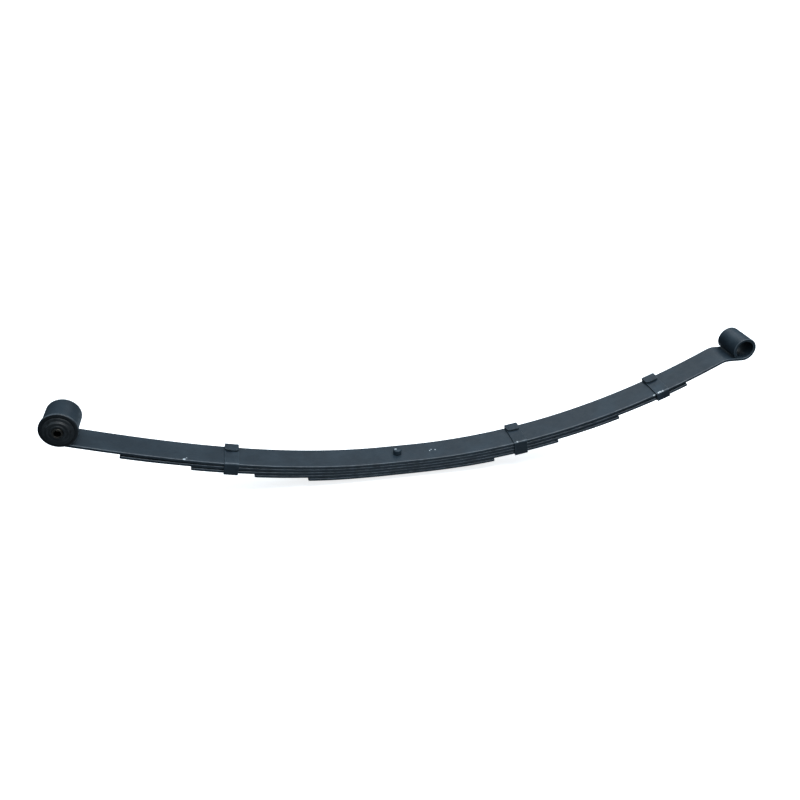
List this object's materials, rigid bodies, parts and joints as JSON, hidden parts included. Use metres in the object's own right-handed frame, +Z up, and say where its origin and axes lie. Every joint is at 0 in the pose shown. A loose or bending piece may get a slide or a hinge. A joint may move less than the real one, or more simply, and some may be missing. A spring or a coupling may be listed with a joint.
{
  "type": "leaf spring",
  "caption": "Semi-elliptic leaf spring with stacked leaves, riveted clips, a centre bolt, a bushed front eye and an open rear eye.",
  "frame": {"origin": "middle of the centre bolt's flat head, above the main leaf", "axes": "+X along the spring towards the open rear eye, +Y across the leaves away from the bushing's flange, +Z up, out of the centre bolt's head"},
  "size_m": [1.4478, 0.084, 0.267],
  "materials": {
    "spring_paint": "semi-gloss black paint over scale and rolled steel, slightly textured",
    "shell_paint": "semi-gloss black paint on turned steel",
    "bushing_rubber": "moulded black rubber with a slight sheen",
    "sleeve_steel": "dark oiled steel",
    "bolt_paint": "black painted bolt steel",
    "liner_plastic": "moulded black plastic"
  },
  "bodies": {
    "spring": {"main_leaf": "spring_paint", "second_leaf": "spring_paint", "third_leaf": "spring_paint", "fourth_leaf": "spring_paint", "fifth_leaf": "spring_paint", "front_clip": "spring_paint", "rear_inner_clip": "spring_paint", "rear_outer_clip": "spring_paint", "front_clip_rivet": "spring_paint", "rear_inner_clip_rivet": "spring_paint", "rear_outer_clip_rivet": "spring_paint", "second_leaf_front_tip_liner": "liner_plastic", "second_leaf_rear_tip_liner": "liner_plastic", "third_leaf_front_tip_liner": "liner_plastic", "third_leaf_rear_tip_liner": "liner_plastic", "fourth_leaf_front_tip_liner": "liner_plastic", "fourth_leaf_rear_tip_liner": "liner_plastic", "fifth_leaf_front_tip_liner": "liner_plastic", "fifth_leaf_rear_tip_liner": "liner_plastic", "centre_bolt": "bolt_paint", "centre_bolt_nut": "bolt_paint", "bushing_outer_shell": "shell_paint", "bushing_rubber": "bushing_rubber"},
    "inner_sleeve": {"bushing_inner_sleeve": "sleeve_steel"}
  },
  "joints": [
    {"name": "bushing_twist", "type": "hinge", "parent": "spring", "child": "inner_sleeve", "pos_m": [-0.64244, 0, 0.13284], "axis": [0, 1, 0], "range_deg": [-20, 20], "stiffness_Nm_per_rad": 4}
  ]
}
